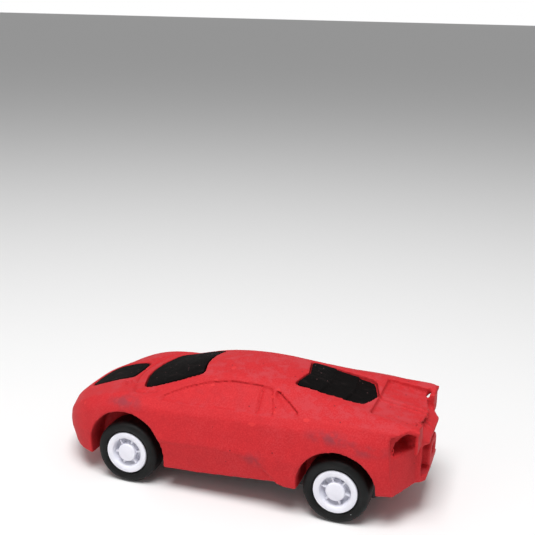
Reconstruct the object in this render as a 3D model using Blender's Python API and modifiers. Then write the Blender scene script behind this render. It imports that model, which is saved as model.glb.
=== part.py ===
"""Pull back car: a moulded rubber body over a plastic tray with a pull back motor.

Frame: +X forward, +Y to the car's left, +Z up. The tyres stand on z = 0 and the
wheel axles are half a wheelbase either side of the origin.
"""
import math

import bmesh
import bpy
from mathutils import Matrix, Vector

MM = 0.001
MERGE = 0.00001

# Overall sizes
BODY_LENGTH = 89.4 * MM
BODY_WIDTH = 36.0 * MM
BODY_HEIGHT = 23.5 * MM          # from the sill's lowest line to the roof
BODY_BOTTOM = 5.1 * MM           # the sill's lowest line above the ground
WHEELBASE = 50.0 * MM

# Wheels
TYRE_RADIUS = 7.5 * MM
TYRE_WIDTH = 6.4 * MM
TYRE_SHOULDER = 1.5 * MM
RIM_RADIUS = 5.0 * MM
RIM_LIP = 1.0 * MM               # width of the flat ring round the rim's face
RIM_CAP_RADIUS = 2.15 * MM
RIM_DISH = 2.2 * MM              # depth of the dish behind the ring
RIM_RIB_WIDTH = 0.6 * MM
RIM_RIB_SET_BACK = 0.8 * MM
WHEEL_STANDOFF = 1.7 * MM        # from the tray's side to the backs of the wheels
FRONT_ARCH_GAP = 2.0 * MM        # between the tyre and the arch, ahead of the axle
REAR_ARCH_GAP = 1.2 * MM
ARCH_RISE = 1.0 * MM             # the arches' centres sit above the axles

# Axles and gears
AXLE_RADIUS = 0.8 * MM
AXLE_PLAY = 0.3 * MM
AXLE_END_GAP = 1.5 * MM          # the rods stop this far behind the wheels' faces
PIN_RADIUS = 0.6 * MM
ARBOR_RADIUS = 1.2 * MM
GEAR_MODULE = 0.5 * MM
PINION_TEETH = 8
WHEEL_TEETH = 14
SPRING_GEAR_TEETH = 20
ADDENDUM = 0.8                   # tooth height above the pitch circle, in modules
DEDENDUM = 1.2
PRESSURE_ANGLE = math.radians(20)
GEAR_WIDTH = 1.2 * MM
GEAR_LAYER = 1.6 * MM            # from one layer of gears to the next, across the car
SPRING_GEAR_PLACE = -0.3 * MM    # the spring gear's middle, left of the car's middle
MESH_SPREAD = 0.12 * MM          # added to each pair's centre distance
TOOTH_PLAY = 0.14 * MM           # taken off each tooth's thickness
CLUTCH_ANGLE = math.radians(57.8)     # direction from the rear axle to the clutch gear
IDLER_ANGLE = math.radians(-20.0)     # direction from the clutch gear to the idler gear
SPRING_ANGLE = 0.0                    # direction from the idler gear to the spring gear
SPRING_THICKNESS = 0.3 * MM
SPRING_WIDTH = 3.8 * MM
SPRING_TURNS = 4
SPRING_PLACE = -3.4 * MM
SPRING_POINTS_A_TURN = 14

# Motor housing
MOTOR_WIDTH = 13.2 * MM
MOTOR_WALL = 0.8 * MM
EAR_LENGTH = 3.6 * MM
EAR_THICKNESS = 1.0 * MM
SCREW_RADIUS = 0.8 * MM
SCREW_HEAD_RADIUS = 1.6 * MM

# Chassis tray
TRAY_FLOOR = 3.3 * MM            # underside of the tray above the ground
TRAY_WALL = 1.0 * MM
TRAY_RIM = 6.5 * MM              # top of the tray's walls and side wings
WING_WIDTH = 24.4 * MM
WING_SHOULDER = 2.3 * MM         # left between a wing's end and the wheel arch
TRAY_NOSE = 9.5 * MM             # how far the tray reaches in front of the front axle
BEARING_WALL = 1.3 * MM          # in front of and behind the axles' bores
BEARING_COVER = 1.7 * MM         # above the axles' bores
SCREW_FLOOR = 0.6 * MM           # left under the screws' holes
PLUG_RADIUS = 1.5 * MM
PLUG_TOP = 15.8 * MM
PLUG_PLACES = (8.0 * MM, 18.0 * MM)   # ahead of the point midway between the axles

# Clearances and inserts
FIT = 0.3 * MM
PRESS_GAP = 0.15 * MM            # left between pieces that are pressed together
WHEEL_GAP = 0.5 * MM
INSERT_DEPTH = 1.6 * MM
CAVITY_ROOM = 2.0 * MM           # between the tray's bearings and the hollow's ceiling

# The body is drawn as lines that run from nose to tail, in millimetres as (x, y, z).
# Each line has one point at each of sixteen stations.
DRAWN_LENGTH = 89.4
DRAWN_WIDTH = 36.0
DRAWN_HEIGHT = 23.5
DRAWN_BOTTOM = 4.8
DRAWN_MIDDLE = 1.7               # middle of the drawn length, ahead of the axles' midpoint
CENTRE_LINE = [
    (46.0, 0, 11.0), (44.6, 0, 14.2), (41.0, 0, 17.0), (36.0, 0, 19.0),
    (30.0, 0, 21.2), (25.0, 0, 21.8), (19.0, 0, 24.5), (9.7, 0, 27.8),
    (0.0, 0, 28.8), (-7.0, 0, 28.6), (-12.2, 0, 27.7), (-18.5, 0, 26.3),
    (-25.0, 0, 24.9), (-30.5, 0, 23.8), (-36.4, 0, 22.7), (-41.4, 0, 21.8)]
RIDGE_LINE = [
    (46.0, 2.6, 10.8), (44.4, 4.5, 14.0), (41.0, 6.2, 17.0), (36.0, 7.2, 19.2),
    (30.0, 7.0, 21.2), (25.0, 9.4, 21.6), (19.0, 10.4, 23.2), (9.7, 8.6, 26.6),
    (0.0, 8.8, 27.4), (-7.0, 8.5, 27.3), (-12.2, 8.2, 26.9), (-18.5, 9.0, 26.0),
    (-25.0, 10.2, 25.0), (-30.5, 11.2, 24.3), (-36.4, 12.6, 23.8), (-41.7, 13.6, 23.3)]
BELT_LINE = [
    (45.8, 5.2, 10.0), (43.6, 9.0, 12.4), (40.2, 12.0, 15.6), (35.6, 13.6, 18.6),
    (30.0, 14.2, 20.8), (25.0, 14.6, 21.6), (19.0, 14.9, 21.7), (9.7, 15.3, 21.4),
    (0.0, 15.5, 21.8), (-7.0, 15.6, 22.1), (-12.2, 15.7, 22.5), (-18.5, 15.8, 22.9),
    (-25.0, 15.8, 23.0), (-30.5, 15.7, 22.9), (-36.2, 15.4, 22.3), (-38.8, 13.4, 21.6)]
SHOULDER_LINE = [
    (45.6, 5.8, 8.8), (43.2, 10.2, 10.4), (39.8, 13.8, 13.0), (35.3, 15.9, 16.4),
    (30.0, 16.9, 18.6), (25.0, 17.2, 19.6), (19.0, 17.1, 19.6), (9.7, 16.8, 19.6),
    (0.0, 16.8, 20.0), (-7.0, 16.9, 20.2), (-12.2, 17.1, 20.4), (-18.5, 17.5, 20.4),
    (-25.0, 17.6, 20.0), (-30.5, 17.2, 19.8), (-36.4, 15.8, 19.5), (-42.0, 8.6, 18.4)]
CREASE_LINE = [
    (45.4, 5.8, 7.6), (42.8, 10.6, 8.6), (39.4, 14.4, 9.8), (35.0, 16.7, 11.2),
    (30.0, 17.6, 12.4), (25.0, 18.0, 12.8), (19.0, 18.0, 12.7), (9.7, 17.9, 12.9),
    (0.0, 17.9, 13.2), (-7.0, 17.9, 12.6), (-12.2, 17.9, 12.8), (-18.5, 18.0, 13.1),
    (-25.0, 18.0, 13.2), (-30.5, 17.6, 13.2), (-36.6, 15.9, 13.4), (-42.8, 8.6, 13.2)]
SILL_LINE = [
    (44.8, 5.0, 6.0), (42.0, 10.0, 5.4), (39.0, 13.6, 4.8), (35.0, 15.8, 4.8),
    (30.0, 16.6, 4.9), (25.0, 17.0, 5.0), (19.0, 17.1, 5.1), (9.7, 17.1, 5.4),
    (0.0, 17.1, 5.9), (-7.0, 17.1, 6.4), (-12.2, 17.1, 6.9), (-18.5, 17.2, 6.3),
    (-25.0, 17.1, 6.6), (-30.5, 16.9, 7.0), (-36.2, 15.5, 7.8), (-41.0, 8.6, 6.8)]
NOSE_TIP = (46.6, 0, 8.8)
TAIL_TOP = (-43.0, 0, 18.4)
TAIL_MIDDLE = (-43.2, 0, 13.2)
BODY_CREASES = {"ridge": 0.35, "belt": 0.3, "crease": 0.5, "sill": 0.85}
TAIL_CREASE = 0.85

# Outlines of the black inserts, in millimetres as (x, y) on one side of the middle
HOOD_OUTLINE = [(41.0, 0.0), (40.3, 3.4), (38.8, 5.9), (34.0, 6.0), (29.8, 5.1), (29.2, 4.2), (29.0, 0.0)]
WINDSCREEN_OUTLINE = [
    (25.4, 0.0), (24.9, 4.0), (23.9, 7.4), (22.4, 10.0), (21.2, 10.4),
    (15.0, 9.3), (10.4, 8.0), (9.8, 7.3), (10.8, 3.4), (11.1, 0.0)]
ENGINE_OUTLINE = [
    (-13.7, 0.0), (-12.2, 6.6), (-13.2, 7.4), (-27.0, 7.4), (-28.2, 6.6), (-30.4, 0.0)]
INSERT_PLANES = {                # (x, z) at the front and at the back of each panel
    "hood": ((41.0, 17.0), (29.0, 21.1)),
    "windscreen": ((25.4, 21.6), (9.8, 26.9)),
    "engine": ((-12.2, 27.0), (-30.4, 23.8))}

# Tail details, in drawn millimetres
INTAKE_HALF_SIZE = (4.0, 3.2, 1.9)
INTAKE_PLACE = (-40.0, 11.6, 19.0)
INTAKE_TURN = math.radians(28)
EXHAUST_RECESS = ((-50.0, -5.2, 10.4), (-41.4, 5.2, 15.2))

# Materials as (red, green, blue), roughness, metallic
RED_RUBBER = ((0.55, 0.035, 0.04), 0.75, 0.0)
BLACK_RUBBER = ((0.010, 0.009, 0.009), 0.85, 0.0)
TYRE_RUBBER = ((0.013, 0.013, 0.014), 0.7, 0.0)
WHITE_PLASTIC = ((0.72, 0.73, 0.80), 0.4, 0.0)
BLACK_PLASTIC = ((0.02, 0.02, 0.02), 0.5, 0.0)
GREY_PLASTIC = ((0.25, 0.26, 0.27), 0.5, 0.0)
GEAR_PLASTIC = ((0.75, 0.72, 0.62), 0.45, 0.0)
STEEL = ((0.56, 0.57, 0.58), 0.3, 1.0)
SPRING_STEEL = ((0.28, 0.30, 0.34), 0.35, 1.0)

LEFT = 1
RIGHT = -1
ROUND_STEPS = 24
BODY_LEVELS = 2

WHEEL_STEPS = 24

HALF_WIDTH = BODY_WIDTH / 2
MIDWAY = -DRAWN_MIDDLE * BODY_LENGTH / DRAWN_LENGTH
FRONT_AXLE = Vector((MIDWAY + WHEELBASE / 2, 0, TYRE_RADIUS))
REAR_AXLE = Vector((MIDWAY - WHEELBASE / 2, 0, TYRE_RADIUS))
FRONT_ARCH_RADIUS = TYRE_RADIUS + FRONT_ARCH_GAP
REAR_ARCH_RADIUS = TYRE_RADIUS + REAR_ARCH_GAP
BEARING_TOP = TYRE_RADIUS + AXLE_RADIUS + AXLE_PLAY + BEARING_COVER
CAVITY_CEILING = BEARING_TOP + CAVITY_ROOM
WING_LENGTH = WHEELBASE - 2 * (FRONT_ARCH_RADIUS + WING_SHOULDER)
TRAY_FRONT = FRONT_AXLE.x + TRAY_NOSE
MOTOR_HALF = MOTOR_WIDTH / 2
TRAY_HALF = MOTOR_HALF + FIT + TRAY_WALL + 2 * FIT
CAVITY_HALF = TRAY_HALF + FIT
WHEEL_BACK = TRAY_HALF + WHEEL_STANDOFF
WHEEL_FACE = WHEEL_BACK + TYRE_WIDTH


def tip_radius(teeth):
    return GEAR_MODULE * (teeth / 2 + ADDENDUM)


def next_centre(centre, first_teeth, second_teeth, angle):
    """The centre of a gear that meshes with one at centre, along an angle in the XZ plane."""
    distance = GEAR_MODULE * (first_teeth + second_teeth) / 2 + MESH_SPREAD
    return centre + Vector((math.cos(angle), 0, math.sin(angle))) * distance


CLUTCH_CENTRE = next_centre(REAR_AXLE, PINION_TEETH, WHEEL_TEETH, CLUTCH_ANGLE)
IDLER_CENTRE = next_centre(CLUTCH_CENTRE, PINION_TEETH, WHEEL_TEETH, IDLER_ANGLE)
SPRING_CENTRE = next_centre(IDLER_CENTRE, PINION_TEETH, SPRING_GEAR_TEETH, SPRING_ANGLE)
MOTOR_ROOM = FIT + MOTOR_WALL
MOTOR_LOW_X = REAR_AXLE.x - tip_radius(PINION_TEETH) - MOTOR_ROOM
MOTOR_HIGH_X = SPRING_CENTRE.x + tip_radius(SPRING_GEAR_TEETH) + MOTOR_ROOM
MOTOR_LOW_Z = REAR_AXLE.z - tip_radius(PINION_TEETH) - FIT - MOTOR_ROOM
MOTOR_HIGH_Z = MOTOR_ROOM + max(
    CLUTCH_CENTRE.z + tip_radius(WHEEL_TEETH), SPRING_CENTRE.z + tip_radius(SPRING_GEAR_TEETH))
TRAY_BACK = MOTOR_LOW_X - EAR_LENGTH - FIT - TRAY_WALL


# ---------------------------------------------------------------- scene and objects
def clear_scene():
    for old in list(bpy.data.objects):
        bpy.data.objects.remove(old, do_unlink=True)


def new_collection(name):
    collection = bpy.data.collections.new(name)
    bpy.context.scene.collection.children.link(collection)
    return collection


def make_material(name, finish):
    colour, roughness, metallic = finish
    material = bpy.data.materials.new(name)
    material.use_nodes = True
    shader = material.node_tree.nodes["Principled BSDF"]
    shader.inputs["Base Color"].default_value = (*colour, 1)
    shader.inputs["Roughness"].default_value = roughness
    shader.inputs["Metallic"].default_value = metallic
    return material


def add_object(name, mesh, finish=None, location=(0, 0, 0)):
    """A visible part when it has a finish, and a cutter when it has none."""
    obj = bpy.data.objects.new(name, mesh)
    obj.location = location
    if finish is None:
        CUTTERS.objects.link(obj)
        obj.hide_render = True
        obj.display_type = "WIRE"
    else:
        PARTS.objects.link(obj)
        if not mesh.materials:
            mesh.materials.append(make_material(name, finish))
    return obj


def mesh_from(name, bm):
    mesh = bpy.data.meshes.new(name)
    bm.to_mesh(mesh)
    bm.free()
    return mesh


def freeze(obj, name):
    """The evaluated mesh of an object, in its own axes; the object is removed."""
    bpy.context.view_layer.update()
    graph = bpy.context.evaluated_depsgraph_get()
    mesh = bpy.data.meshes.new_from_object(obj.evaluated_get(graph), depsgraph=graph)
    mesh.name = name
    bpy.data.objects.remove(obj, do_unlink=True)
    return mesh


def shade_round(mesh, angle=math.radians(35)):
    mesh.shade_smooth()
    mesh.set_sharp_from_angle(angle=angle)


# ---------------------------------------------------------------- basic shapes
def box(name, low, high, finish=None):
    bm = bmesh.new()
    bmesh.ops.create_cube(bm, size=1)
    size = Vector(high) - Vector(low)
    middle = (Vector(high) + Vector(low)) / 2
    bmesh.ops.scale(bm, vec=size, verts=bm.verts)
    bmesh.ops.translate(bm, vec=middle, verts=bm.verts)
    return add_object(name, mesh_from(name, bm), finish)


def rod(name, radius, start, end, finish=None, steps=ROUND_STEPS):
    """A round bar from start to end."""
    start, end = Vector(start), Vector(end)
    bm = bmesh.new()
    bmesh.ops.create_cone(
        bm, cap_ends=True, segments=steps, radius1=radius, radius2=radius, depth=(end - start).length)
    turn = (end - start).to_track_quat("Z", "Y").to_matrix().to_4x4()
    bmesh.ops.transform(bm, matrix=Matrix.Translation((start + end) / 2) @ turn, verts=bm.verts)
    mesh = mesh_from(name, bm)
    if finish is not None:
        shade_round(mesh)
    return add_object(name, mesh, finish)


def cross_rod(name, radius, centre, y_from, y_to, finish=None, steps=ROUND_STEPS):
    """A round bar along Y through a centre given in the XZ plane."""
    return rod(name, radius, (centre.x, y_from, centre.z), (centre.x, y_to, centre.z), finish, steps)


def plate_mesh(name, outline, thickness):
    """A flat plate in the XY plane, centred on z = 0, from a closed outline."""
    curve = bpy.data.curves.new(name, "CURVE")
    curve.dimensions = "2D"
    curve.fill_mode = "BOTH"
    curve.extrude = thickness / 2
    spline = curve.splines.new("POLY")
    spline.points.add(len(outline) - 1)
    for point, (x, y) in zip(spline.points, outline):
        point.co = (x, y, 0, 1)
    spline.use_cyclic_u = True
    flat = bpy.data.objects.new(name, curve)
    CUTTERS.objects.link(flat)
    mesh = freeze(flat, name)
    bm = bmesh.new()
    bm.from_mesh(mesh)
    bmesh.ops.remove_doubles(bm, verts=bm.verts, dist=MERGE)
    bmesh.ops.recalc_face_normals(bm, faces=bm.faces)
    bm.to_mesh(mesh)
    bm.free()
    return mesh


def turned_mesh(name, profile, ring):
    """A shape turned about Z from (radius, height) points, outer side going down.

    A ring's profile is closed; otherwise it starts and ends on the axis.
    """
    bm = bmesh.new()
    points = [bm.verts.new((radius, 0, height)) for radius, height in profile]
    ends = points[1:] + points[:1] if ring else points[1:]
    for first, second in zip(points, ends):
        bm.edges.new((first, second))
    obj = add_object(name, mesh_from(name, bm))
    screw = obj.modifiers.new("turn", "SCREW")
    screw.steps = WHEEL_STEPS
    screw.render_steps = WHEEL_STEPS
    screw.use_merge_vertices = True
    screw.merge_threshold = MERGE
    return freeze(obj, name)


def combine(obj, other, operation):
    modifier = obj.modifiers.new(other.name, "BOOLEAN")
    modifier.operation = operation
    modifier.solver = "EXACT"
    modifier.object = other


def cut(obj, *cutters):
    for cutter in cutters:
        combine(obj, cutter, "DIFFERENCE")


def join(obj, *additions):
    for addition in additions:
        combine(obj, addition, "UNION")


def mirrored(half):
    """A whole outline from the points on its positive side, which start on the middle."""
    other = [(x, -y) for x, y in reversed(half) if y > 0]
    return half + other


# ---------------------------------------------------------------- body
def body_point(drawn):
    """A drawn point, in millimetres, moved to the body's real size."""
    x, y, z = drawn
    return Vector((
        (x - DRAWN_MIDDLE) * BODY_LENGTH / DRAWN_LENGTH,
        y * BODY_WIDTH / DRAWN_WIDTH,
        BODY_BOTTOM + (z - DRAWN_BOTTOM) * BODY_HEIGHT / DRAWN_HEIGHT))


def body_cage():
    """Half of the body, open along the middle plane, as a loft over its drawn lines."""
    floor_line = [(x, 0, z) for x, y, z in SILL_LINE]
    lines = [CENTRE_LINE, RIDGE_LINE, BELT_LINE, SHOULDER_LINE, CREASE_LINE, SILL_LINE, floor_line]
    names = ["centre", "ridge", "belt", "shoulder", "crease", "sill", "floor"]
    bm = bmesh.new()
    grid = [[bm.verts.new(body_point(point)) for point in line] for line in lines]
    for upper, lower in zip(grid, grid[1:]):
        for station in range(len(upper) - 1):
            bm.faces.new((upper[station], upper[station + 1], lower[station + 1], lower[station]))
    nose = [line[0] for line in grid]
    tip = bm.verts.new(body_point(NOSE_TIP))
    for first in (0, 2, 4):
        bm.faces.new((nose[first], nose[first + 1], nose[first + 2], tip))
    tail = [line[-1] for line in grid]
    top = bm.verts.new(body_point(TAIL_TOP))
    middle = bm.verts.new(body_point(TAIL_MIDDLE))
    bm.faces.new((tail[0], tail[1], tail[2], tail[3], top))
    bm.faces.new((top, tail[3], tail[4], middle))
    bm.faces.new((middle, tail[4], tail[5], tail[6]))
    bmesh.ops.recalc_face_normals(bm, faces=bm.faces)
    crease = bm.edges.layers.float.new("crease_edge")
    for name, line in zip(names, grid):
        for first, second in zip(line, line[1:]):
            bm.edges.get((first, second))[crease] = BODY_CREASES.get(name, 0)
    for first, second in zip(tail, tail[1:]):
        bm.edges.get((first, second))[crease] = TAIL_CREASE
    return bm


def body_form(name, finish=None):
    """The body's whole outer form, with nothing cut out of it."""
    form = add_object(name, mesh_from(name, body_cage()), finish)
    mirror = form.modifiers.new("halves", "MIRROR")
    mirror.use_axis = (False, True, False)
    mirror.merge_threshold = MERGE
    smooth = form.modifiers.new("smooth", "SUBSURF")
    smooth.levels = BODY_LEVELS
    smooth.render_levels = BODY_LEVELS
    return form


def arch_cutters(name, axle, radius):
    """The two wheel wells over one axle, open outward and downward."""
    centre = axle + Vector((0, 0, ARCH_RISE))
    inner = WHEEL_BACK - WHEEL_GAP
    outer = HALF_WIDTH * 1.5
    cutters = []
    for side, side_name in ((LEFT, "left"), (RIGHT, "right")):
        near, far = sorted((side * inner, side * outer))
        cutters.append(cross_rod(f"{name}_{side_name}_arch", radius, centre, near, far, steps=32))
        low = (centre.x - radius * 0.99, near, -TYRE_RADIUS)
        high = (centre.x + radius * 0.99, far, centre.z)
        cutters.append(box(f"{name}_{side_name}_well", low, high))
    slot_half = AXLE_RADIUS + FIT + AXLE_PLAY
    cutters.append(box(
        f"{name}_axle_slot", (axle.x - slot_half, -outer, -TYRE_RADIUS),
        (axle.x + slot_half, outer, axle.z + slot_half)))
    return cutters


def cavity_cutters():
    """The hollow that the tray, the motor and the tray's plugs sit in."""
    wing_half = WING_WIDTH / 2 + FIT
    wing_end = WING_LENGTH / 2 + FIT
    low = -TYRE_RADIUS
    cutters = [
        box("cavity_tray", (TRAY_BACK - FIT, -CAVITY_HALF, low),
            (TRAY_FRONT + FIT, CAVITY_HALF, CAVITY_CEILING)),
        box("cavity_wings", (MIDWAY - wing_end, -wing_half, low),
            (MIDWAY + wing_end, wing_half, CAVITY_CEILING - 2 * FIT))]
    half = MOTOR_HALF + FIT
    cutters.append(box(
        "cavity_motor", (MOTOR_LOW_X - FIT, -half, low), (MOTOR_HIGH_X + FIT, half, MOTOR_HIGH_Z + FIT)))
    for place in PLUG_PLACES:
        cutters.append(rod(
            f"cavity_plug_{round(place / MM)}", PLUG_RADIUS + FIT, (MIDWAY + place, 0, 0),
            (MIDWAY + place, 0, PLUG_TOP + 2 * FIT), steps=16))
    return cutters


def insert_plane(panel):
    """Where a panel lies: its middle and its slope."""
    (front_x, front_z), (back_x, back_z) = INSERT_PLANES[panel]
    front = body_point((front_x, 0, front_z))
    back = body_point((back_x, 0, back_z))
    run = front - back
    return (front + back) / 2, math.atan2(run.z, run.x)


def insert_cutter(name, panel, outline, shrink, rise):
    """An upright plate tilted onto the body, its lower face INSERT_DEPTH - rise down."""
    middle, slope = insert_plane(panel)
    stretch = 1 / math.cos(slope)
    half = [(body_point((x, y, 0)).x - middle.x, body_point((x, y, 0)).y) for x, y in outline]
    reach = max(abs(x) for x, y in half)
    width = max(y for x, y in half)
    x_scale = stretch * (reach - shrink) / reach
    y_scale = (width - shrink) / width
    whole = mirrored([(x * x_scale, y * y_scale) for x, y in half])
    height = 6 * INSERT_DEPTH
    plate = add_object(name, plate_mesh(name, whole, height))
    lift = height / 2 - INSERT_DEPTH + rise
    plate.rotation_euler = (0, -slope, 0)
    plate.location = middle + Vector((-math.sin(slope), 0, math.cos(slope))) * lift
    return plate


def build_body():
    body = body_form("body_shell", RED_RUBBER)
    outlines = {"hood": HOOD_OUTLINE, "windscreen": WINDSCREEN_OUTLINE, "engine": ENGINE_OUTLINE}
    nodes = {"hood": "hood_insert", "windscreen": "windscreen_insert", "engine": "engine_cover"}
    for panel, outline in outlines.items():
        cut(body, insert_cutter(f"{panel}_recess", panel, outline, 0, 0))
        insert = body_form(nodes[panel], BLACK_RUBBER)
        combine(insert, insert_cutter(f"{panel}_panel", panel, outline, FIT, FIT), "INTERSECT")
    cut(body, *cavity_cutters())
    cut(body, *arch_cutters("front", FRONT_AXLE, FRONT_ARCH_RADIUS))
    cut(body, *arch_cutters("rear", REAR_AXLE, REAR_ARCH_RADIUS))
    cut(body, *tail_cutters())


def tail_cutters():
    """The two rear intakes and the exhaust recess."""
    cutters = []
    for side, side_name in ((LEFT, "left"), (RIGHT, "right")):
        half = Vector(INTAKE_HALF_SIZE) * MM
        intake = box(f"{side_name}_intake", -half, half)
        x, y, z = INTAKE_PLACE
        intake.location = body_point((x, side * y, z))
        intake.rotation_euler = (0, 0, -side * INTAKE_TURN)
        cutters.append(intake)
    low, high = EXHAUST_RECESS
    cutters.append(box("exhaust_recess", body_point(low), body_point(high)))
    return cutters


# ---------------------------------------------------------------- wheels and axles
def rim_mesh():
    """A dished wheel with a round cap and six ribs; its face is z = 0, looking up."""
    ring = RIM_RADIUS - RIM_LIP
    edge = 0.1 * MM
    barrel = 0.9 * MM
    web = 1.2 * MM
    hub = 2 * MM
    back = -TYRE_WIDTH
    profile = [
        (0, 0), (RIM_CAP_RADIUS - 2 * edge, 0), (RIM_CAP_RADIUS, -2 * edge), (RIM_CAP_RADIUS, -RIM_DISH),
        (ring - 4 * edge, -RIM_DISH), (ring, -edge), (ring + edge, 0), (RIM_RADIUS, 0),
        (RIM_RADIUS, back), (RIM_RADIUS - barrel, back), (RIM_RADIUS - barrel, -RIM_DISH - web),
        (hub, -RIM_DISH - web), (hub, back + FIT), (0, back + FIT)]
    rim = add_object("rim", turned_mesh("rim", profile, ring=False))
    for turn in range(3):
        reach = ring + 2 * edge
        bar = box(
            f"rib_{turn}", (-reach, -RIM_RIB_WIDTH / 2, -RIM_DISH - web / 2),
            (reach, RIM_RIB_WIDTH / 2, -RIM_RIB_SET_BACK))
        bar.rotation_euler = (0, 0, turn * math.pi / 3)
        join(rim, bar)
    bore = AXLE_END_GAP - FIT
    cut(rim, rod("rim_bore", AXLE_RADIUS + PRESS_GAP, (0, 0, 2 * back), (0, 0, -bore), steps=16))
    mesh = freeze(rim, "rim")
    shade_round(mesh)
    return mesh


def tyre_mesh():
    """A slick tyre with round shoulders; its face is z = 0, looking up."""
    inner = RIM_RADIUS + PRESS_GAP
    side = TYRE_RADIUS - TYRE_SHOULDER * 0.85
    corner = TYRE_RADIUS - TYRE_SHOULDER * 0.3
    outer_half = [
        (inner, -0.15 * MM), (side, 0), (corner, -TYRE_SHOULDER * 0.3), (TYRE_RADIUS, -TYRE_SHOULDER)]
    inner_half = [(radius, -TYRE_WIDTH - height) for radius, height in reversed(outer_half)]
    mesh = turned_mesh("tyre", outer_half + inner_half, ring=True)
    shade_round(mesh)
    return mesh


def add_pivot(name, place):
    pivot = bpy.data.objects.new(name, None)
    pivot.location = place
    PARTS.objects.link(pivot)
    return pivot


def hang(obj, pivot):
    """Parent a part to its joint's empty and leave it where it is."""
    obj.parent = pivot
    obj.matrix_parent_inverse = Matrix.Translation(-Vector(pivot.location))


def build_wheels():
    rim = rim_mesh()
    tyre = tyre_mesh()
    rim.materials.append(make_material("white_plastic", WHITE_PLASTIC))
    tyre.materials.append(make_material("tyre_rubber", TYRE_RUBBER))
    half_rod = WHEEL_FACE - AXLE_END_GAP
    for end, axle in (("front", FRONT_AXLE), ("rear", REAR_AXLE)):
        pivot = add_pivot(f"{end}_axle_pivot", axle)
        hang(cross_rod(f"{end}_axle", AXLE_RADIUS, axle, -half_rod, half_rod, STEEL, steps=16), pivot)
        for side, side_name in ((LEFT, "left"), (RIGHT, "right")):
            for piece, mesh, finish in (("rim", rim, WHITE_PLASTIC), ("tyre", tyre, TYRE_RUBBER)):
                place = axle + Vector((0, side * WHEEL_FACE, 0))
                wheel = add_object(f"{end}_{side_name}_{piece}", mesh, finish, place)
                wheel.rotation_euler = (-side * math.pi / 2, 0, 0)
                hang(wheel, pivot)


# ---------------------------------------------------------------- gears and spring
def involute(angle):
    return math.tan(angle) - angle


def gear_outline(teeth, phase):
    """Points round a gear whose first tooth points along the phase angle."""
    pitch = GEAR_MODULE * teeth / 2
    base = pitch * math.cos(PRESSURE_ANGLE)
    root = pitch - DEDENDUM * GEAR_MODULE
    tip = tip_radius(teeth)
    low = max(base, root)
    half_tooth = (math.pi * GEAR_MODULE / 2 - TOOTH_PLAY) / 2 / pitch + involute(PRESSURE_ANGLE)
    flank = []
    for radius in (root, low + (tip - low) * 0.35, tip):
        bend = involute(math.acos(base / radius)) if radius > base else 0
        flank.append((radius, half_tooth - bend))
    points = []
    for tooth in range(teeth):
        middle = phase + tooth * math.tau / teeth
        sides = [(radius, -half) for radius, half in flank] + list(reversed(flank))
        points += [(radius * math.cos(middle + half), radius * math.sin(middle + half))
                   for radius, half in sides]
    return points


def gear_disc(name, centre, teeth, phase, y_from, y_to, finish=None):
    mesh = plate_mesh(name, gear_outline(teeth, phase), y_to - y_from)
    gear = add_object(name, mesh, finish, (centre.x, (y_from + y_to) / 2, centre.z))
    gear.rotation_euler = (math.pi / 2, 0, 0)
    return gear


def mate_phase(angle, teeth):
    """The phase that puts a gap opposite a tooth that points along the angle."""
    return angle + math.pi + math.pi / teeth


def layer(index):
    """The span across the car of the gear wheels in one layer."""
    middle = SPRING_GEAR_PLACE + index * GEAR_LAYER
    return middle - GEAR_WIDTH / 2, middle + GEAR_WIDTH / 2


def compound_gear(name, centre, own_layer, wheel_angle, pinion_angle):
    """A wheel in its own layer with a pinion that reaches over the layer below."""
    y_from, y_to = layer(own_layer)
    pivot = add_pivot(f"{name}_pivot", centre)
    phase = mate_phase(wheel_angle, WHEEL_TEETH)
    gear = gear_disc(name, centre, WHEEL_TEETH, phase, y_from, y_to, GEAR_PLASTIC)
    spread = (GEAR_LAYER - GEAR_WIDTH) / 4
    y_low = layer(own_layer - 1)[0] - spread
    join(gear, gear_disc(f"{name}_pinion", centre, PINION_TEETH, pinion_angle, y_low, y_from + spread))
    reach = MOTOR_WIDTH
    cut(gear, cross_rod(f"{name}_bore", PIN_RADIUS + FIT, centre, -reach, reach, steps=16))
    hang(gear, pivot)
    pin_end = MOTOR_HALF - FIT
    cross_rod(f"{name}_pin", PIN_RADIUS, centre, -pin_end, pin_end, STEEL, steps=12)


def build_gears():
    y_from, y_to = layer(2)
    spread = (GEAR_LAYER - GEAR_WIDTH) / 4
    pinion = gear_disc(
        "axle_pinion", REAR_AXLE, PINION_TEETH, CLUTCH_ANGLE, y_from - spread, y_to + spread, GEAR_PLASTIC)
    cut(pinion, cross_rod(
        "axle_pinion_bore", AXLE_RADIUS + PRESS_GAP, REAR_AXLE, -MOTOR_WIDTH, MOTOR_WIDTH, steps=16))
    hang(pinion, bpy.data.objects["rear_axle_pivot"])
    compound_gear("clutch_gear", CLUTCH_CENTRE, 2, CLUTCH_ANGLE, IDLER_ANGLE)
    compound_gear("idler_gear", IDLER_CENTRE, 1, IDLER_ANGLE, SPRING_ANGLE)
    y_from, y_to = layer(0)
    phase = mate_phase(SPRING_ANGLE, SPRING_GEAR_TEETH)
    pivot = add_pivot("spring_gear_pivot", SPRING_CENTRE)
    spring_gear = gear_disc(
        "spring_gear", SPRING_CENTRE, SPRING_GEAR_TEETH, phase, y_from, y_to, GEAR_PLASTIC)
    arbor_end = MOTOR_HALF - FIT
    join(spring_gear, cross_rod("arbor", ARBOR_RADIUS, SPRING_CENTRE, -arbor_end, arbor_end, steps=16))
    hang(spring_gear, pivot)


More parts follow.
